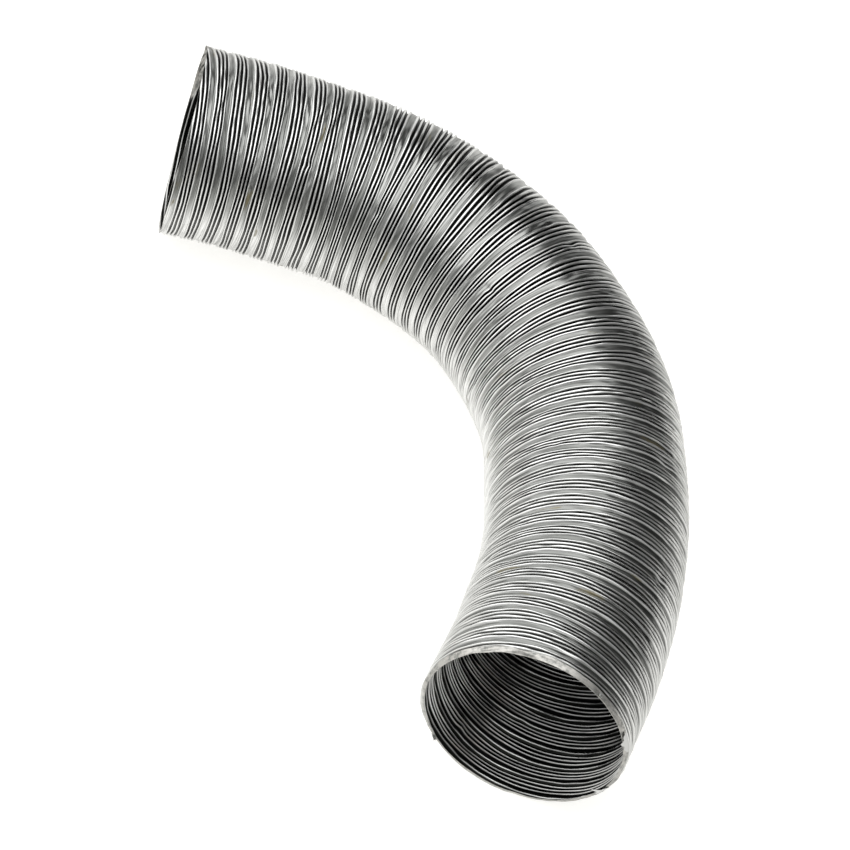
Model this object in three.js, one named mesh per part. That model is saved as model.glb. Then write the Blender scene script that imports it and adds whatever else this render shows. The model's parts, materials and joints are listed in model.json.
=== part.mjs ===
// Flexible air duct: a bare length of semi-rigid aluminium duct, bent into an arc.
//
// The real duct is one strip of corrugated foil, wound into a helix, with its edges folded
// together as a lock seam. Here every two turns of the strip that keep their shape are a ring,
// and the corrugation between two rings, which bends and stretches, is a fold.
//
// Millimetres, +Z up. The duct lies on z = 0. The middle of its footprint is at x = y = 0, and
// its near end faces -Y. Distances along the duct count from the far end.

import * as THREE from 'three';

// Cross-section. The bore slides over a 60 mm spigot.
const BORE_DIAMETER = 60;
const OUTER_DIAMETER = 63;
const FACETS = 24;

// The centreline, from the far end to the near end. A positive bend turns right, seen from above.
const SECTIONS = [
  { length: 50, bendDegrees: 8 },
  { length: 135, bendDegrees: 75.5 },
  { length: 95, bendDegrees: 27 },
  { length: 20, bendDegrees: -2.5 },
];
const NEAR_END_HEADING_DEGREES = -90;

// Rings and folds along the centreline.
const RING_COUNT = 22;
const FOLD_GAP = 4.3; // between two rings, filled by a fold
const CLEARANCE = 0.3; // between a fold and the rings beside it

// Ring profile: a ridge at each edge, and the flat lock seam band between them.
const RIDGE_WIDTH = 1.6;
const RIDGE_FLANK = 0.6;
const SEAM_DEPTH = 0.55; // of the seam band, below the ridges

// Fold profile: a shallow V, a little thinner than the ring's wall all round.
const FOLD_INSET = 0.3;
const FOLD_VALLEY_DEPTH = 0.45;

const LENGTH = SECTIONS.reduce((sum, section) => sum + section.length, 0);
const TOTAL_BEND_DEGREES = SECTIONS.reduce((sum, section) => sum + section.bendDegrees, 0);
const STATION = LENGTH / RING_COUNT;
const OUTER_RADIUS = OUTER_DIAMETER / 2;
const BORE_RADIUS = BORE_DIAMETER / 2;

const radians = THREE.MathUtils.degToRad;

// ---- The centreline ----

// Moves a place { x, y, heading } along an arc of this length, which turns by this angle.
function advance(place, length, turn) {
  const halfTurn = turn / 2;
  const chord = halfTurn === 0 ? length : length * Math.sin(halfTurn) / halfTurn;
  return {
    x: place.x + chord * Math.cos(place.heading + halfTurn),
    y: place.y + chord * Math.sin(place.heading + halfTurn),
    heading: place.heading + turn,
  };
}

// The place on the centreline at this distance from the far end.
function centreline(distance) {
  let place = { x: 0, y: 0, heading: radians(NEAR_END_HEADING_DEGREES + TOTAL_BEND_DEGREES) };
  let remaining = distance;
  for (const { length, bendDegrees } of SECTIONS) {
    const step = Math.min(remaining, length);
    place = advance(place, step, -radians(bendDegrees) * step / length);
    remaining -= step;
    if (remaining <= 0) break;
  }
  return place;
}

// ---- Shapes ----

// The corner radius of a faceted circle whose flats lie at this radius.
function cornerRadius(flatRadius) {
  return flatRadius / Math.cos(Math.PI / FACETS);
}

// Closes a wall outline: these outer [radius, along] points, then the bore behind them.
function wallOutline(outerPoints, boreRadius) {
  const start = outerPoints[0][1];
  const end = outerPoints[outerPoints.length - 1][1];
  return [[boreRadius, start], ...outerPoints, [boreRadius, end], [boreRadius, start]];
}

function ringOutline(length) {
  const half = length / 2;
  const ridgeEdge = half - RIDGE_WIDTH;
  const seamEdge = ridgeEdge - RIDGE_FLANK;
  const seamRadius = OUTER_RADIUS - SEAM_DEPTH;
  return wallOutline([
    [OUTER_RADIUS, -half],
    [OUTER_RADIUS, -ridgeEdge],
    [seamRadius, -seamEdge],
    [seamRadius, seamEdge],
    [OUTER_RADIUS, ridgeEdge],
    [OUTER_RADIUS, half],
  ], BORE_RADIUS);
}

function foldOutline(length) {
  const half = length / 2;
  const crestRadius = OUTER_RADIUS - FOLD_INSET;
  return wallOutline([
    [crestRadius, -half],
    [crestRadius - FOLD_VALLEY_DEPTH, 0],
    [crestRadius, half],
  ], BORE_RADIUS);
}

// Spins an outline round the X axis, then bends it sideways to follow the centreline.
function bentTube(outline, length, turn) {
  const points = outline.map(([radius, along]) => new THREE.Vector2(cornerRadius(radius), along));
  const geometry = new THREE.LatheGeometry(points, FACETS, Math.PI / FACETS);
  geometry.rotateZ(-Math.PI / 2);
  const position = geometry.attributes.position;
  for (let i = 0; i < position.count; i += 1) {
    const along = position.getX(i);
    const aside = position.getY(i);
    const place = advance({ x: 0, y: 0, heading: 0 }, along, turn * along / length);
    position.setXYZ(
      i,
      place.x - aside * Math.sin(place.heading),
      place.y + aside * Math.cos(place.heading),
      position.getZ(i),
    );
  }
  geometry.computeVertexNormals();
  return geometry;
}

// ---- Pieces ----

function aluminium(colour, roughness) {
  return new THREE.MeshStandardMaterial({ color: colour, roughness, metalness: 1 });
}

// A piece of the wall between two distances along the duct.
function wallPiece(name, from, to, outlineOf, material) {
  const length = to - from;
  const start = centreline(from);
  const turn = centreline(to).heading - start.heading;
  const middle = advance(start, length / 2, turn / 2);
  const piece = new THREE.Mesh(bentTube(outlineOf(length), length, turn), material);
  piece.name = name;
  piece.position.set(middle.x, middle.y, OUTER_RADIUS);
  piece.rotation.z = middle.heading;
  return piece;
}

function ringName(number) {
  if (number === 1) return 'far_end_turns';
  if (number === RING_COUNT) return 'near_end_turns';
  return `turns_${String(number).padStart(2, '0')}`;
}

function ring(number) {
  const from = number === 1 ? 0 : (number - 1) * STATION + FOLD_GAP / 2;
  const to = number === RING_COUNT ? LENGTH : number * STATION - FOLD_GAP / 2;
  return wallPiece(ringName(number), from, to, ringOutline, aluminium(0xc6c9ca, 0.32));
}

// The fold after the ring of this number.
function fold(number) {
  const name = `fold_${String(number).padStart(2, '0')}`;
  const reach = FOLD_GAP / 2 - CLEARANCE;
  const middle = number * STATION;
  return wallPiece(name, middle - reach, middle + reach, foldOutline, aluminium(0x8f9496, 0.4));
}

// ---- The duct ----

const duct = new THREE.Group();
for (let number = 1; number <= RING_COUNT; number += 1) {
  duct.add(ring(number));
  if (number < RING_COUNT) duct.add(fold(number));
}

const footprint = new THREE.Box3().setFromObject(duct, true).getCenter(new THREE.Vector3());
duct.position.set(-footprint.x, -footprint.y, 0);

const model = new THREE.Group();
model.add(duct);

export default model;
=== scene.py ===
"""The flexible air duct's looks: one strip of corrugated foil, wound into a helix round the CAD
rings, with its lock seam, its turned-in cut edges and its dents."""

import json
import math

import bpy
import numpy as np
from mathutils import Matrix, Vector


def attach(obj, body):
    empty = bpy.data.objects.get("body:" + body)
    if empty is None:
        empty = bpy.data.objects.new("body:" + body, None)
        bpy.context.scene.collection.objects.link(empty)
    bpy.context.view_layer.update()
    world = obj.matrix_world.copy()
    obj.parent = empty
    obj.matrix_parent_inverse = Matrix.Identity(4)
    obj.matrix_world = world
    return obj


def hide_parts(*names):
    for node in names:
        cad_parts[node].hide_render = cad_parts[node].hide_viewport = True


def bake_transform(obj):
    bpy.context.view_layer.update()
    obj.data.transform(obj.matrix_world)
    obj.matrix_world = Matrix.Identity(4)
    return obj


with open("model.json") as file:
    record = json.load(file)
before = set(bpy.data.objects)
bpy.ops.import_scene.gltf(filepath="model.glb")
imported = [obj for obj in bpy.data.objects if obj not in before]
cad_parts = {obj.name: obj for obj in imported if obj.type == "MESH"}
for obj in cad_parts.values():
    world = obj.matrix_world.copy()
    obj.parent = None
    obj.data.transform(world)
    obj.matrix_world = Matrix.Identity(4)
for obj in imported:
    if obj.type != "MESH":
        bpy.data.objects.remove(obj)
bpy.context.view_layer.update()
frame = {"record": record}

MM = 0.001
TAU = 2 * math.pi

# ---- Driving dimensions: the duct's path and wall, as in the CAD model ----

OUTER_RADIUS = 31.5 * MM
RING_COUNT = 22
SECTIONS = [(50 * MM, 8.0), (135 * MM, 75.5), (95 * MM, 27.0), (20 * MM, -2.5)]  # length, bend
NEAR_END_HEADING = math.radians(-90)
LENGTH = sum(length for length, _ in SECTIONS)
STATION = LENGTH / RING_COUNT

# ---- The winding: one strip, pulled out a little further in the bend than at the ends ----

TURN_COUNT = 44
PULLED_OUT = 0.079  # share by which the turns are wider in the middle and closer at the ends
SLACK_TURNS = 0.5  # this much of a turn is missing round the middle, where it is pulled out most
SLACK_MIDDLE = 148 * MM
SLACK_REACH = 57 * MM
WINDING_START = 0.47  # turns
FAR_LEAN = 0.85 * MM  # the turns lean back a little, most of all at the far end
STEADY_LEAN = 0.45 * MM
FAR_LEAN_FADE = 60 * MM
STEADY_LEAN_FADE = 80 * MM

# ---- The strip's corrugation, along the duct: four crests, then the flat lock seam ----

GROOVES = 3
CREST_PITCH = 0.21  # of a turn
SEAM_START = GROOVES * CREST_PITCH
CREST_FLATNESS = 0.2  # how flat the crests are on top, from 0 to 1
CREST_WIDTH = 0.7 * MM
INNER_RIDGE_WIDTH = 0.44 * MM
GROOVE_DEPTH = 1.15 * MM
SEAM_DEPTH = 0.5 * MM
SEAM_SHOULDER = 0.52 * MM
FOLDED_EDGE = 0.10 * MM  # the step where one edge of the strip is folded over the other
FOLDED_EDGE_AT = 0.6  # of the way across the seam
FOLDED_EDGE_RAMP = 0.03  # of a turn
SEAM_BUMP = 0.6 * MM  # how far the folded edges stand out inside the duct
SEAM_BUMP_WIDTH = 0.65 * MM
FOIL = 0.2 * MM
RESTING_GAP = 0.02 * MM

# ---- The cut ends. The far one is cut askew and flared at the back, the near one turned in. ----

FAR_CUT_EXTRA = 1.0 * MM
FAR_CUT_SKEW = 2.9 * MM
FAR_CUT_LONGEST_AT = math.radians(-78)
FAR_TONGUE = 1.4 * MM
FAR_TONGUE_AT = math.radians(-82)
FAR_TONGUE_WIDTH = math.radians(24)
FAR_LIP_WIDTH = 1.9 * MM
FAR_LIP_FLARE = 0.25 * MM
FAR_LIP_NARROWEST = 0.1  # of its width
FAR_LIP_AT = math.radians(70)
FAR_LIP_FADE = (0.74, 0.9)  # cosines of the angles from there between which it narrows
NEAR_LIP_WIDTH = 1.5 * MM
NEAR_LIP_DROP = 1.05 * MM
NEAR_LIP_NARROWEST = 0.12
NEAR_LIP_AT = 0.1  # radians
NEAR_LIP_FADE = (-0.35, 0.15)
LIP_DEPTH = 0.12 * MM  # of a lip's root, below the crests
LIP_ROOT = 0.45 * MM  # the length over which the corrugation turns into a lip
LIP_WAVINESS = 0.1
LIP_RAGGEDNESS = 0.12

# ---- Mesh fineness ----

AROUND_STEPS = 180
SAMPLES_PER_GROOVE = 10
SEAM_SAMPLES = 16
ROUND_THE_DUCT = np.arange(AROUND_STEPS + 1) * TAU / AROUND_STEPS
SAME_PLACE = 1e-4 * MM  # vertices closer together than this along the duct are one vertex
NORMAL_REACH = 0.03 * MM  # how far to either side a normal is measured


# ---- The centreline ----

def advance(place, length, turn):
    """Moves (x, y, heading) along an arc. Works on numbers and on arrays."""
    half = np.where(np.abs(turn) < 1e-9, 1e-9, turn / 2)
    chord = length * np.sin(half) / half
    x, y, heading = place
    return (
        x + chord * np.cos(heading + half),
        y + chord * np.sin(heading + half),
        heading + turn,
    )


def walk(distance):
    """The place at these distances from the far end, before the path is put in the frame."""
    distance = np.asarray(distance, float)
    total_bend = sum(bend for _, bend in SECTIONS)
    zero = np.zeros_like(distance)
    place = (zero, zero, zero + NEAR_END_HEADING + math.radians(total_bend))
    remaining = distance.copy()
    for number, (length, bend) in enumerate(SECTIONS):
        last = number == len(SECTIONS) - 1
        step = remaining if last else np.minimum(remaining, length)
        place = advance(place, step, -math.radians(bend) * step / length)
        remaining = remaining - step
    return place


near_mount = next(m for m in frame["record"]["mounts"] if m["name"] == "near_cut_end")
NEAR_END = Vector((near_mount["pos_m"][0], near_mount["pos_m"][1], OUTER_RADIUS))
path_end = walk(LENGTH)
PATH_OFFSET = (NEAR_END.x - float(path_end[0]), NEAR_END.y - float(path_end[1]))


def centreline(distance):
    x, y, heading = walk(distance)
    return x + PATH_OFFSET[0], y + PATH_OFFSET[1], heading


def centre_point(distance):
    x, y, _ = centreline(distance)
    return Vector((float(x), float(y), OUTER_RADIUS))


# ---- Irregularities: smooth waves and small dents, the same on every run ----

rng = np.random.default_rng(20)


def make_waves(count, lobes, wavelengths, size):
    """Random smooth waves over the wall: lobes around it, and wavelengths along it."""
    return [
        (
            rng.integers(lobes[0], lobes[1] + 1) * rng.choice([-1, 1]),
            TAU / rng.uniform(*wavelengths),
            rng.uniform(0, TAU),
            size * rng.uniform(0.5, 1.0) / math.sqrt(count),
        )
        for _ in range(count)
    ]


def add_waves(waves, along, around):
    total = np.zeros_like(along)
    for lobes, frequency, phase, size in waves:
        total += size * np.sin(lobes * around + frequency * along + phase)
    return total


spacing_waves = make_waves(10, (0, 4), (14 * MM, 60 * MM), 0.42 * MM)
crinkle_waves = make_waves(16, (5, 16), (3 * MM, 9 * MM), 0.11 * MM)
roundness_waves = make_waves(8, (1, 4), (25 * MM, 90 * MM), 0.22 * MM)
crest_waves = make_waves(22, (7, 30), (1.5 * MM, 6 * MM), 0.085 * MM)
END_FADE = 6 * MM  # the spacing of the turns is regular again at the cut ends

DENT_COUNT = 46
DENTS_FROM_END = 8 * MM
dents = [
    {
        "along": rng.uniform(DENTS_FROM_END, LENGTH - DENTS_FROM_END),
        "around": rng.uniform(-math.pi, math.pi),
        "length": rng.uniform(0.8, 2.6) * MM,
        "width": rng.uniform(0.9, 3.2) * MM,
        "depth": rng.uniform(0.12, 0.5) * MM,
        "shove": rng.uniform(-0.45, 0.45) * MM,
    }
    for _ in range(DENT_COUNT)
]


def angle_between(a, b):
    return (a - b + math.pi) % TAU - math.pi


def dent_moves(along, around):
    """How far the dents press the wall in, and shove it along."""
    inward = np.zeros_like(along)
    shoved = np.zeros_like(along)
    for dent in dents:
        near = np.abs(along - dent["along"]) < 3 * dent["length"]
        if not near.any():
            continue
        across = angle_between(around[near], dent["around"]) * OUTER_RADIUS / dent["width"]
        forward = (along[near] - dent["along"]) / dent["length"]
        weight = np.exp(-(across**2) - forward**2)
        inward[near] += dent["depth"] * weight
        shoved[near] += dent["shove"] * weight
    return inward, shoved


# ---- The winding ----

def turn_number(along):
    """How many turns of the strip lie between the far end and these distances."""
    pitch = LENGTH / TURN_COUNT
    swing = PULLED_OUT * LENGTH / (TAU * pitch)
    slack = SLACK_TURNS * np.exp(-(((along - SLACK_MIDDLE) / SLACK_REACH) ** 4))
    return along / pitch + swing * np.sin(TAU * along / LENGTH) - slack


TABLE_MARGIN = 0.15 * LENGTH  # the table reaches past both ends
TABLE_SIZE = 8001
along_table = np.linspace(-TABLE_MARGIN, LENGTH + TABLE_MARGIN, TABLE_SIZE)
turn_table = turn_number(along_table)


def along_of_turn(turn):
    return np.interp(turn, turn_table, along_table)


def turn_pitch(along):
    """The strip's width along the duct, at these distances."""
    step = 0.5 * MM
    return 2 * step / (turn_number(along + step) - turn_number(along - step))


def strip_place(along, around):
    """Where a point lies across its turn of the strip: from 0, its first crest, to 1."""
    return (turn_number(along) + around / TAU - WINDING_START) % 1


# ---- The wall's surface ----

def smooth(x):
    x = np.clip(x, 0, 1)
    return x * x * (3 - 2 * x)


def groove_share(place):
    """0 on a crest and 1 at the bottom of a groove. In the seam it is 0."""
    wave = 0.5 - 0.5 * np.cos(TAU * place / CREST_PITCH)
    share = smooth((wave - CREST_FLATNESS) / (1 - CREST_FLATNESS))
    return np.where(place < SEAM_START, share, 0)


def seam_edges(place, pitch):
    """Distances to the two crests beside the seam. Both are 0 outside the seam."""
    from_start = np.maximum(place - SEAM_START, 0) * pitch
    to_end = np.where(place > SEAM_START, 1 - place, 0) * pitch
    return from_start, to_end


def from_seam_bump(place, pitch):
    return np.abs(place - (1 + SEAM_START) / 2) * pitch


def wall_depth(place, pitch, inside):
    """How far below the crests the wall lies, at this place across the strip."""
    from_start, to_end = seam_edges(place, pitch)
    shoulders = smooth(from_start / SEAM_SHOULDER) * smooth(to_end / SEAM_SHOULDER)
    folded_edge = SEAM_START + FOLDED_EDGE_AT * (1 - SEAM_START)
    folded = smooth((place - folded_edge) / FOLDED_EDGE_RAMP)
    depth = GROOVE_DEPTH * groove_share(place) + shoulders * (SEAM_DEPTH + FOLDED_EDGE * folded)
    if inside:
        depth = depth + FOIL + SEAM_BUMP * smooth(1 - from_seam_bump(place, pitch) / SEAM_BUMP_WIDTH)
    return depth


def ridge_share(place, pitch, inside):
    """1 on the tops of the ridges that stand out on this face of the foil, else 0."""
    if inside:
        in_groove = np.abs((place / CREST_PITCH) % 1 - 0.5) * CREST_PITCH * pitch
        distance = np.where(place < SEAM_START, in_groove, from_seam_bump(place, pitch))
    else:
        in_groove = np.abs((place / CREST_PITCH + 0.5) % 1 - 0.5) * CREST_PITCH * pitch
        in_seam = np.minimum(*seam_edges(place, pitch))
        distance = np.where(place < SEAM_START, in_groove, in_seam)
    width = INNER_RIDGE_WIDTH if inside else CREST_WIDTH
    return np.exp(-((2 * distance / width) ** 4))


def far_cut(around):
    """Where the far end is cut off."""
    tongue = np.exp(-((angle_between(around, FAR_TONGUE_AT) / FAR_TONGUE_WIDTH) ** 2))
    skew = FAR_CUT_SKEW * np.cos(around - FAR_CUT_LONGEST_AT)
    return -FAR_CUT_EXTRA - skew - FAR_TONGUE * tongue


def lean(along, around):
    """How far the turns are pushed along by leaning back."""
    amount = FAR_LEAN * np.exp(-along / FAR_LEAN_FADE)
    amount = amount + STEADY_LEAN * smooth((LENGTH - along) / STEADY_LEAN_FADE)
    return -amount * np.sin(around)


def arc_share(around, middle, fade):
    """1 round this angle, and 0 beyond the fade, which is given as two cosines."""
    return smooth((np.cos(around - middle) - fade[0]) / (fade[1] - fade[0]))


def lip_width(widest, narrowest, around, share):
    """A lip's width, which is ragged, and narrows where its share of the edge is below 1."""
    waviness = LIP_WAVINESS * np.sin(5 * around + 1)
    raggedness = LIP_RAGGEDNESS * np.sin(13 * around) * np.sin(4 * around)
    return widest * (narrowest + (1 - narrowest) * share) * (1 + waviness + raggedness)


def lip_share(along, around):
    """1 on the lip of either cut end and 0 on the corrugated wall, and how far the lip is turned
    in."""
    near_arc = arc_share(around, NEAR_LIP_AT, NEAR_LIP_FADE)
    near_width = lip_width(NEAR_LIP_WIDTH, NEAR_LIP_NARROWEST, around, near_arc)
    from_near_end = LENGTH - along
    near_lip = smooth((near_width - from_near_end) / LIP_ROOT + 0.5)
    near_drop = NEAR_LIP_DROP * np.clip(1 - from_near_end / near_width, 0, 1)
    far_arc = arc_share(around, FAR_LIP_AT, FAR_LIP_FADE)
    far_width = lip_width(FAR_LIP_WIDTH, FAR_LIP_NARROWEST, around, far_arc)
    from_far_end = along - far_cut(around)
    far_lip = smooth((far_width - from_far_end) / LIP_ROOT + 0.5)
    far_flare = FAR_LIP_FLARE * far_arc * np.clip(1 - from_far_end / far_width, 0, 1)
    return np.maximum(near_lip, far_lip), near_drop - far_flare


def wall_point(along, around, inside):
    """Points of the foil's outer or inner face, as an array of positions in metres."""
    place = strip_place(along, around)
    lip, lip_drop = lip_share(along, around)
    inward, shoved = dent_moves(along, around)
    lip_depth = LIP_DEPTH + lip_drop + (FOIL if inside else 0)
    depth = wall_depth(place, turn_pitch(along), inside) * (1 - lip) + lip * lip_depth
    crest = 1 - groove_share(place)
    radius = OUTER_RADIUS - depth - inward
    radius = radius + add_waves(roundness_waves, along, around)
    radius = radius + crest * add_waves(crest_waves, along, around)
    end_fade = smooth(np.minimum(along, LENGTH - along) / END_FADE)
    moved = along + shoved + add_waves(crinkle_waves, along, around)
    moved = moved + end_fade * add_waves(spacing_waves, along, around) + lean(along, around)
    x, y, heading = centreline(moved)
    aside = radius * np.sin(around)
    height = OUTER_RADIUS + radius * np.cos(around)
    rest_height = RESTING_GAP + (FOIL if inside else 0)
    return np.stack(
        [
            x - aside * np.sin(heading),
            y + aside * np.cos(heading),
            np.maximum(height, rest_height),
        ],
        axis=-1,
    )


def wall_normal(along, around, inside):
    """The surface's own normals, so that neighbouring pieces shade as one."""
    turn = NORMAL_REACH / OUTER_RADIUS
    ahead = wall_point(along + NORMAL_REACH, around, inside)
    behind = wall_point(along - NORMAL_REACH, around, inside)
    one_side = wall_point(along, around + turn, inside)
    other_side = wall_point(along, around - turn, inside)
    normal = np.cross(one_side - other_side, ahead - behind)
    normal /= np.linalg.norm(normal, axis=1)[:, None]
    return -normal if inside else normal


# ---- Meshing ----

def strip_samples():
    """Places across the strip where the mesh has a row."""
    grooves = np.arange(GROOVES * SAMPLES_PER_GROOVE) * CREST_PITCH / SAMPLES_PER_GROOVE
    seam = SEAM_START + (1 - SEAM_START) * np.arange(SEAM_SAMPLES) / SEAM_SAMPLES
    return np.concatenate([grooves, seam])


def helical_grid(start, end):
    """Rows that follow the helix between two distances, which may vary round the duct.
    Returns each vertex's (along, around), the quads, and the vertices along each cut."""
    first_turn = math.floor(np.min(turn_number(start)) - WINDING_START) - 1
    last_turn = math.ceil(turn_number(end) - WINDING_START) + 2
    rows = (np.arange(first_turn, last_turn)[:, None] + strip_samples()[None, :]).ravel()
    along = along_of_turn(rows[:, None] + WINDING_START - ROUND_THE_DUCT[None, :] / TAU)
    along = np.clip(along, start, end)
    column = np.broadcast_to(np.arange(AROUND_STEPS + 1) % AROUND_STEPS, along.shape)
    key = np.round(along / SAME_PLACE).astype(np.int64) * AROUND_STEPS + column
    _, first_seen, index = np.unique(key.ravel(), return_index=True, return_inverse=True)
    index = index.reshape(along.shape)
    corners = np.stack([index[:-1, :-1], index[:-1, 1:], index[1:, 1:], index[1:, :-1]], axis=-1)
    angle = column * TAU / AROUND_STEPS
    vertices = np.stack([along.ravel()[first_seen], angle.ravel()[first_seen]], axis=-1)
    start_cut = index[0, :-1]
    end_cut = index[-1, :-1]
    return vertices, corners.reshape(-1, 4), start_cut, end_cut


def without_repeats(face):
    """A face without the corners that fall together, or None if too few are left."""
    kept = [v for n, v in enumerate(face) if v != face[n - 1]]
    return kept if len(set(kept)) > 2 else None


def cut_faces(outer_cut, inner_cut):
    """The ring of faces across the foil's thickness at a cut."""
    outer_next = np.roll(outer_cut, -1)
    inner_next = np.roll(inner_cut, -1)
    return np.stack([outer_cut, inner_cut, inner_next, outer_next], axis=-1)


def foil_mesh(name, start, end):
    """A closed piece of the foil between two distances along the duct. The start may vary round it."""
    grid, quads, start_cut, end_cut = helical_grid(start, end)
    along, around = grid[:, 0], grid[:, 1]
    count = len(grid)
    positions = np.concatenate([wall_point(along, around, side) for side in (False, True)])
    normals = np.concatenate([wall_normal(along, around, side) for side in (False, True)])
    walls = np.concatenate([quads, quads[:, ::-1] + count])
    faces = [f for f in (without_repeats(q) for q in walls.tolist()) if f]
    wall_face_count = len(faces)
    faces += cut_faces(start_cut, start_cut + count).tolist()
    faces += cut_faces(end_cut, end_cut + count)[:, ::-1].tolist()

    mesh = bpy.data.meshes.new(name)
    mesh.from_pydata(positions.tolist(), [], faces)
    mesh.update()
    set_shading(mesh, normals, wall_face_count)
    store_vector(mesh, "laid_straight", np.tile(laid_straight(along, around), (2, 1)))
    place = strip_place(along, around)
    pitch = turn_pitch(along)
    lip, _ = lip_share(along, around)
    # The ridge mark carries the painted highlights on the ridge tops into the material
    ridges = [ridge_share(place, pitch, side) * (1 - lip) for side in (False, True)]
    store_value(mesh, "ridge", np.concatenate(ridges))
    # The groove and inside marks carry the painted shade in the grooves and over the inner wall into
    # the material
    store_value(mesh, "groove", np.tile(groove_share(place) * (1 - lip), 2))
    store_value(mesh, "lip", np.tile(lip, 2))
    store_value(mesh, "inside", np.repeat([0.0, 1.0], count))
    return mesh


def set_shading(mesh, vertex_normals, smooth_face_count):
    """Smooth walls with the surface's own normals, and flat cut faces."""
    is_smooth = np.arange(len(mesh.polygons)) < smooth_face_count
    mesh.polygons.foreach_set("use_smooth", is_smooth)
    corner_vertex = np.empty(len(mesh.loops), int)
    mesh.loops.foreach_get("vertex_index", corner_vertex)
    corner_count = np.empty(len(mesh.polygons), int)
    mesh.polygons.foreach_get("loop_total", corner_count)
    face_normals = np.empty(len(mesh.polygons) * 3)
    mesh.polygons.foreach_get("normal", face_normals)
    flat = np.repeat(face_normals.reshape(-1, 3), corner_count, axis=0)
    smooth_corner = np.repeat(is_smooth, corner_count)
    corner_normals = np.where(smooth_corner[:, None], vertex_normals[corner_vertex], flat)
    mesh.normals_split_custom_set(corner_normals.tolist())


def laid_straight(along, around):
    """Where points of the wall would be if the duct were straight: along, up and aside."""
    return np.stack([along, OUTER_RADIUS * np.cos(around), OUTER_RADIUS * np.sin(around)], -1)


def store_vector(mesh, name, values):
    attribute = mesh.attributes.new(name, "FLOAT_VECTOR", "POINT")
    attribute.data.foreach_set("vector", np.ascontiguousarray(values, np.float32).ravel())


def store_value(mesh, name, values):
    attribute = mesh.attributes.new(name, "FLOAT", "POINT")
    attribute.data.foreach_set("value", np.ascontiguousarray(values, np.float32))


def add_piece(name, mesh, material):
    piece = bpy.data.objects.new(name, mesh)
    bpy.context.scene.collection.objects.link(piece)
    mesh.materials.append(material)
    return piece


# ---- Torn bits of foil on the near end's edge ----

BURRS = [  # where round the edge (degrees), length along the edge, reach, rise at the free side
    (28, 1.3 * MM, 0.5 * MM, 1.5 * MM),
    (64, 7.5 * MM, 0.5 * MM, -0.3 * MM),
    (109, 5.0 * MM, 2.0 * MM, -2.0 * MM),
    (-137, 2.6 * MM, 0.7 * MM, 0.4 * MM),
]
BURR_ROOT = 0.7 * MM  # how far it reaches back over the wall
BURR_STEPS = 12
BURR_ROWS = 5
BURR_CORNERS = 0.06  # how blunt a bit's two corners are, from 0 to 0.5
BURR_RAGGEDNESS = 0.25
# Painted highlight: the torn bits' share of the ridges' bright colour
BURR_HIGHLIGHT = 0.6


def burr_point(around, reach, rise, outward, sideways):
    """Points of a torn bit: outward from its root and sideways along it, both from 0 to 1."""
    arch = np.sin(math.pi * (BURR_CORNERS + (1 - 2 * BURR_CORNERS) * sideways))
    shape = arch * (1 + BURR_RAGGEDNESS * np.sin(17 * sideways))
    forward = outward * shape
    along = np.full_like(around, LENGTH) - BURR_ROOT + (BURR_ROOT + reach) * forward
    x, y, heading = centreline(along)
    radius = OUTER_RADIUS - NEAR_LIP_DROP * forward + rise * forward**2
    aside = radius * np.sin(around)
    height = OUTER_RADIUS + radius * np.cos(around)
    return np.stack([x - aside * np.sin(heading), y + aside * np.cos(heading), height], axis=-1)


def burr_mesh(name, centre, length, reach, rise):
    """A thin closed flake with a torn outer edge."""
    outward, sideways = np.meshgrid(np.linspace(0, 1, BURR_ROWS), np.linspace(0, 1, BURR_STEPS))
    outward, sideways = outward.ravel(), sideways.ravel()
    around = math.radians(centre) + (sideways - 0.5) * length / OUTER_RADIUS
    nothing = np.zeros_like(around)
    face = burr_point(around, reach, rise, outward, sideways)
    back = face + np.stack([nothing, nothing - FOIL, -FOIL * np.cos(around)], -1)
    count = len(face)
    index = np.arange(count).reshape(BURR_STEPS, BURR_ROWS)
    corners = [index[:-1, :-1], index[1:, :-1], index[1:, 1:], index[:-1, 1:]]
    quads = np.stack(corners, -1).reshape(-1, 4)
    rim = np.concatenate([index[0, :-1], index[:-1, -1], index[-1, :0:-1], index[:0:-1, 0]])
    rim_next = np.roll(rim, -1)
    sides = np.stack([rim, rim_next, rim_next + count, rim + count], -1)
    faces = quads.tolist() + (quads[:, ::-1] + count).tolist() + sides[:, ::-1].tolist()
    mesh = bpy.data.meshes.new(name)
    mesh.from_pydata(np.concatenate([face, back]).tolist(), [], faces)
    mesh.update()
    store_vector(mesh, "laid_straight", np.tile(laid_straight(nothing + LENGTH, around), (2, 1)))
    # The torn bits get part of the ridges' painted highlight
    store_value(mesh, "ridge", np.full(2 * count, BURR_HIGHLIGHT))
    for absent in ("groove", "lip", "inside"):
        store_value(mesh, absent, np.zeros(2 * count))
    return mesh


def make_burrs(material):
    for number, (centre, length, reach, rise) in enumerate(BURRS, 1):
        name = f"rim_burr_{number}"
        piece = add_piece(name, burr_mesh(name, centre, length, reach, rise), material)
        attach(piece, "near_end")


# ---- Material ----

def new_node(tree, kind, **settings):
    node = tree.nodes.new(kind)
    for name, value in settings.items():
        setattr(node, name, value)
    return node


def link_value(tree, socket, value):
    """Feeds a socket from another socket, or sets it to a number or a colour."""
    if isinstance(value, bpy.types.NodeSocket):
        tree.links.new(value, socket)
    else:
        socket.default_value = value


def math_node(tree, operation, first, second):
    node = new_node(tree, "ShaderNodeMath", operation=operation)
    link_value(tree, node.inputs[0], first)
    link_value(tree, node.inputs[1], second)
    return node.outputs[0]


def remap(tree, value, low, high, to_low=0.0, to_high=1.0):
    node = new_node(tree, "ShaderNodeMapRange", interpolation_type="SMOOTHSTEP")
    link_value(tree, node.inputs["Value"], value)
    node.inputs["From Min"].default_value = low
    node.inputs["From Max"].default_value = high
    node.inputs["To Min"].default_value = to_low
    node.inputs["To Max"].default_value = to_high
    return node.outputs["Result"]


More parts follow.
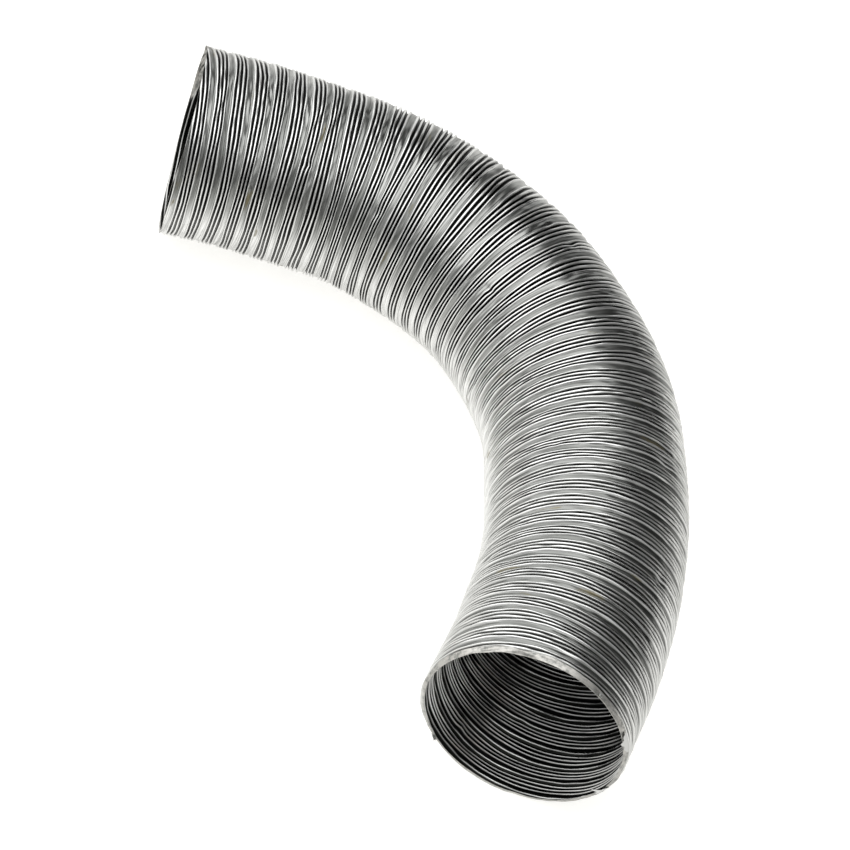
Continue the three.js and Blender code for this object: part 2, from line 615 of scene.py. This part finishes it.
def noise(tree, vector, stretch, detail=3.0, roughness=0.55):
    """Noise over the straightened duct: stretch is its frequency along, up and aside, per metre."""
    scaled = new_node(tree, "ShaderNodeVectorMath", operation="MULTIPLY")
    link_value(tree, scaled.inputs[0], vector)
    scaled.inputs[1].default_value = stretch
    node = new_node(tree, "ShaderNodeTexNoise")
    tree.links.new(scaled.outputs[0], node.inputs["Vector"])
    node.inputs["Scale"].default_value = 1.0
    node.inputs["Detail"].default_value = detail
    node.inputs["Roughness"].default_value = roughness
    return node.outputs["Fac"]


def mix_colour(tree, share, first, second):
    node = new_node(tree, "ShaderNodeMix", data_type="RGBA")
    link_value(tree, node.inputs["Factor"], share)
    link_value(tree, node.inputs[6], first)
    link_value(tree, node.inputs[7], second)
    return node.outputs[2]


FAR_END_FOIL = (0.37, 0.375, 0.362, 1.0)  # bare foil at the far end
NEAR_END_SHADED_FOIL = (0.225, 0.229, 0.22, 1.0)  # bare foil at the near end, darker with painted shade
DULL = (0.18, 0.184, 0.175, 1.0)
UNDERSIDE_LIGHT = (0.85, 0.853, 0.84, 1.0)  # painted light: the underside is lighter, where the bright floor lights it
# Painted highlight: the bright colour of the ridge tops, standing in for the light their curved tops
# catch
RIDGE_HIGHLIGHT = (0.78, 0.784, 0.77, 1.0)
TARNISH = (0.16, 0.138, 0.075, 1.0)
# Near black: the dirt in the streaks, and the painted shade in the grooves and over the whole inner
# wall
GRIME_AND_SHADE = (0.011, 0.0115, 0.01, 1.0)
LIP_METAL = (0.42, 0.412, 0.388, 1.0)
EDGE_TINT = (0.82, 0.82, 0.82, 1.0)  # of what the foil reflects at a grazing angle
UNDERSIDE_FADE = 0.25 * OUTER_RADIUS
BUMP_STRENGTH = 0.35
BUMP_HEIGHT = 0.05 * MM


def foil_parts(tree):
    """What the foil's looks depend on: where it is on the wall, and noise over the duct."""
    parts = {
        name: new_node(tree, "ShaderNodeAttribute", attribute_name=name).outputs["Fac"]
        for name in ("ridge", "groove", "lip", "inside")
    }
    attribute = new_node(tree, "ShaderNodeAttribute", attribute_name="laid_straight")
    straight = attribute.outputs["Vector"]
    laid = new_node(tree, "ShaderNodeSeparateXYZ")
    tree.links.new(straight, laid.inputs[0])
    along, height = laid.outputs["X"], laid.outputs["Y"]
    # Painted shade: the foil grows darker toward the near end
    parts["worn"] = remap(tree, along, 0.1 * LENGTH, 0.9 * LENGTH)
    parts["underside"] = remap(tree, height, -UNDERSIDE_FADE, UNDERSIDE_FADE, 1.0, 0.0)
    parts["streaks"] = noise(tree, straight, (1900.0, 26.0, 26.0), detail=4.0)
    parts["clouds"] = noise(tree, straight, (230.0, 34.0, 34.0))
    parts["stains"] = noise(tree, straight, (150.0, 42.0, 42.0), detail=4.0, roughness=0.62)
    parts["scratches"] = noise(tree, straight, (800.0, 480.0, 480.0), detail=4.0, roughness=0.7)
    parts["grain"] = noise(tree, straight, (2600.0, 700.0, 700.0), detail=2.0)
    return parts


def foil_colour(tree, parts):
    """Bare metal, darker toward the near end as painted shade and lighter on the underside as painted
    light, with dull patches, streaks of grime and stains, then the lips, then painted shade in the
    grooves and over the inner wall, then painted highlights on the ridges."""
    # Bare foil, darker toward the near end as painted shade
    flat = mix_colour(tree, parts["worn"], FAR_END_FOIL, NEAR_END_SHADED_FOIL)
    colour = mix_colour(tree, remap(tree, parts["clouds"], 0.38, 0.66), flat, DULL)
    # Painted light: the underside is lighter
    colour = mix_colour(tree, parts["underside"], colour, UNDERSIDE_LIGHT)
    colour = mix_colour(tree, remap(tree, parts["streaks"], 0.42, 0.68, 0.0, 0.5), colour, GRIME_AND_SHADE)
    colour = mix_colour(tree, remap(tree, parts["stains"], 0.63, 0.7, 0.0, 0.8), colour, TARNISH)
    lip_colour = mix_colour(tree, remap(tree, parts["scratches"], 0.4, 0.7), LIP_METAL, DULL)
    colour = mix_colour(tree, parts["lip"], colour, lip_colour)
    # Painted shade: the grooves are darkened, standing in for the shade deep in them
    in_groove = remap(tree, parts["groove"], 0.15, 0.5, 0.0, 0.97)
    # Less painted shade in the grooves on the underside, which the floor lights
    lighter_underneath = math_node(tree, "MULTIPLY", parts["underside"], 0.35)
    groove_shade = math_node(tree, "MULTIPLY", in_groove, math_node(tree, "SUBTRACT", 1.0, lighter_underneath))
    # Painted shade: the whole inner wall is darkened, standing in for the shade inside the duct
    inner_wall = math_node(tree, "SUBTRACT", parts["inside"], parts["lip"])
    colour = mix_colour(tree, math_node(tree, "MAXIMUM", groove_shade, inner_wall), colour, GRIME_AND_SHADE)
    # Painted highlight on the ridge tops, a little stronger or weaker along the streaks
    highlight_strength = remap(tree, parts["streaks"], 0.35, 0.6, 0.55, 1.0)
    highlight_share = math_node(tree, "MULTIPLY", parts["ridge"], highlight_strength)
    return mix_colour(tree, highlight_share, colour, RIDGE_HIGHLIGHT)


def foil_roughness(tree, parts):
    clouded = remap(tree, parts["clouds"], 0.3, 0.75, 0.26, 0.4)
    streaked = remap(tree, parts["streaks"], 0.35, 0.75, -0.04, 0.08)
    stained = remap(tree, parts["stains"], 0.62, 0.72, 0.0, 0.2)
    roughness = math_node(tree, "ADD", clouded, streaked)
    return math_node(tree, "ADD", roughness, stained)


def foil_relief(tree, parts):
    """Normals with fine lines round the duct, and a grain."""
    lines = math_node(tree, "MULTIPLY", parts["streaks"], 0.7)
    grain = math_node(tree, "MULTIPLY", parts["grain"], 0.3)
    bump = new_node(tree, "ShaderNodeBump")
    bump.inputs["Strength"].default_value = BUMP_STRENGTH
    bump.inputs["Distance"].default_value = BUMP_HEIGHT
    tree.links.new(math_node(tree, "ADD", lines, grain), bump.inputs["Height"])
    return bump.outputs["Normal"]


def foil_material():
    """Bare aluminium foil: painted highlights on the ridges, painted shade in the grooves and inside,
    streaks round the duct, a few stains.
    """
    material = bpy.data.materials.new("corrugated_aluminium_foil")
    material.use_nodes = True
    tree = material.node_tree
    shader = tree.nodes["Principled BSDF"]
    shader.inputs["Metallic"].default_value = 1.0
    shader.inputs["Specular Tint"].default_value = EDGE_TINT
    parts = foil_parts(tree)
    tree.links.new(foil_colour(tree, parts), shader.inputs["Base Color"])
    tree.links.new(foil_roughness(tree, parts), shader.inputs["Roughness"])
    tree.links.new(foil_relief(tree, parts), shader.inputs["Normal"])
    return material


# ---- The duct ----


def ring_name(number):
    """The CAD's name for a ring."""
    if number == 1:
        return "far_end_turns"
    if number == RING_COUNT:
        return "near_end_turns"
    return f"turns_{number:02d}"


def make_foil(material):
    """One piece between the middles of each two rings, in place of those rings and their folds."""
    for number in range(1, RING_COUNT):
        middle_before = (number - 0.5) * STATION
        middle_after = (number + 0.5) * STATION
        start = far_cut(ROUND_THE_DUCT) if number == 1 else middle_before
        end = LENGTH if number == RING_COUNT - 1 else middle_after
        name = f"foil_{number:02d}"
        piece = add_piece(name, foil_mesh(name, start, end), material)
        replaced = [ring_name(number), f"fold_{number:02d}"]
        if number == RING_COUNT - 1:
            replaced.append(ring_name(RING_COUNT))
        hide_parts(*replaced)
        first = centre_point(middle_before)
        last = centre_point(middle_after)
        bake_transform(piece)


# ---- Camera, floor and light ----

CAMERA_TARGET = Vector((12.39, -11.10, 31.5)) * MM
CAMERA_AZIMUTH = math.radians(1.635)
CAMERA_ELEVATION = math.radians(46.397)
CAMERA_ROLL = math.radians(24.915)
CAMERA_DISTANCE = 0.91837
CAMERA_LENS = 125.49
CAMERA_SENSOR = 36.0
CAMERA_CLIP_END = 20

FLOOR_SIZE = 8
FLOOR_COLOUR = (0.4, 0.4, 0.4, 1)
FLOOR_ROUGHNESS = 0.9
FLOOR_GLOW_COLOUR = (1, 0.99, 0.955, 1)
FLOOR_GLOW = 0.8


def make_camera():
    camera = bpy.data.objects.new("camera", bpy.data.cameras.new("camera"))
    bpy.context.scene.collection.objects.link(camera)
    outward = Vector((
        math.cos(CAMERA_ELEVATION) * math.sin(CAMERA_AZIMUTH),
        -math.cos(CAMERA_ELEVATION) * math.cos(CAMERA_AZIMUTH),
        math.sin(CAMERA_ELEVATION),
    ))
    right = Vector((math.cos(CAMERA_AZIMUTH), math.sin(CAMERA_AZIMUTH), 0))
    up = outward.cross(right)
    rolled_right = math.cos(CAMERA_ROLL) * right + math.sin(CAMERA_ROLL) * up
    rolled_up = outward.cross(rolled_right)
    turned = Matrix((rolled_right, rolled_up, outward)).transposed().to_4x4()
    camera.matrix_world = Matrix.Translation(CAMERA_TARGET + CAMERA_DISTANCE * outward) @ turned
    camera.data.lens = CAMERA_LENS
    camera.data.sensor_width = CAMERA_SENSOR
    camera.data.clip_end = CAMERA_CLIP_END
    bpy.context.scene.camera = camera


def make_floor():
    bpy.ops.mesh.primitive_plane_add(size=FLOOR_SIZE)
    floor = bpy.context.object
    floor.name = "floor"
    material = bpy.data.materials.new("pale_floor")
    material.use_nodes = True
    shader = material.node_tree.nodes["Principled BSDF"]
    shader.inputs["Base Color"].default_value = FLOOR_COLOUR
    shader.inputs["Roughness"].default_value = FLOOR_ROUGHNESS
    shader.inputs["Emission Color"].default_value = FLOOR_GLOW_COLOUR
    shader.inputs["Emission Strength"].default_value = FLOOR_GLOW
    floor.data.materials.append(material)


STUDIO_BRIGHTNESS = 0.42
STUDIO_DARKEST = 0.03
STUDIO_PANELS = [  # direction, half width and softness in degrees, change in brightness
    ((-0.75, -0.3, 0.6), 62, 13, 1.85),
    ((-0.15, 0.95, 0.25), 12, 12, 0.6),
    ((0.5, 0.72, 0.42), 26, 21, -0.75),
    ((-0.3, -0.93, 0.05), 35, 15, -1.6),
]
HORIZON_PANEL = ((0.05, 1, 0.05), 14, 5)  # direction, half width and softness


def make_world():
    """A dim grey studio with one big soft light on the left and a low one at the back. It is
    dark at the back on the right, and at the front, where the camera stands. Low down at the
    back, it is as white as the floor."""
    world = bpy.data.worlds.new("studio")
    bpy.context.scene.world = world
    world.use_nodes = True
    tree = world.node_tree
    direction = new_node(tree, "ShaderNodeTexCoord").outputs["Generated"]

    def panel(towards, half_width, softness):
        """1 in the direction of a round panel, 0 outside it."""
        facing = new_node(tree, "ShaderNodeVectorMath", operation="DOT_PRODUCT")
        tree.links.new(direction, facing.inputs[0])
        facing.inputs[1].default_value = Vector(towards).normalized()
        outside = math.cos(math.radians(half_width + softness))
        return remap(tree, facing.outputs["Value"], outside, math.cos(math.radians(half_width)))

    brightness = STUDIO_BRIGHTNESS
    for towards, half_width, softness, change in STUDIO_PANELS:
        part = math_node(tree, "MULTIPLY", panel(towards, half_width, softness), change)
        brightness = math_node(tree, "ADD", part, brightness)
    white_horizon = math_node(tree, "MAXIMUM", panel(*HORIZON_PANEL), STUDIO_DARKEST)
    brightness = math_node(tree, "MAXIMUM", brightness, white_horizon)
    background = tree.nodes["Background"]
    background.inputs["Color"].default_value = (1, 1, 1, 1)
    tree.links.new(brightness, background.inputs["Strength"])


def set_look():
    bpy.context.scene.view_settings.view_transform = "Standard"
    bpy.context.scene.view_settings.exposure = 0.0


make_camera()
make_floor()
make_world()
set_look()
foil = foil_material()
make_foil(foil)
make_burrs(foil)
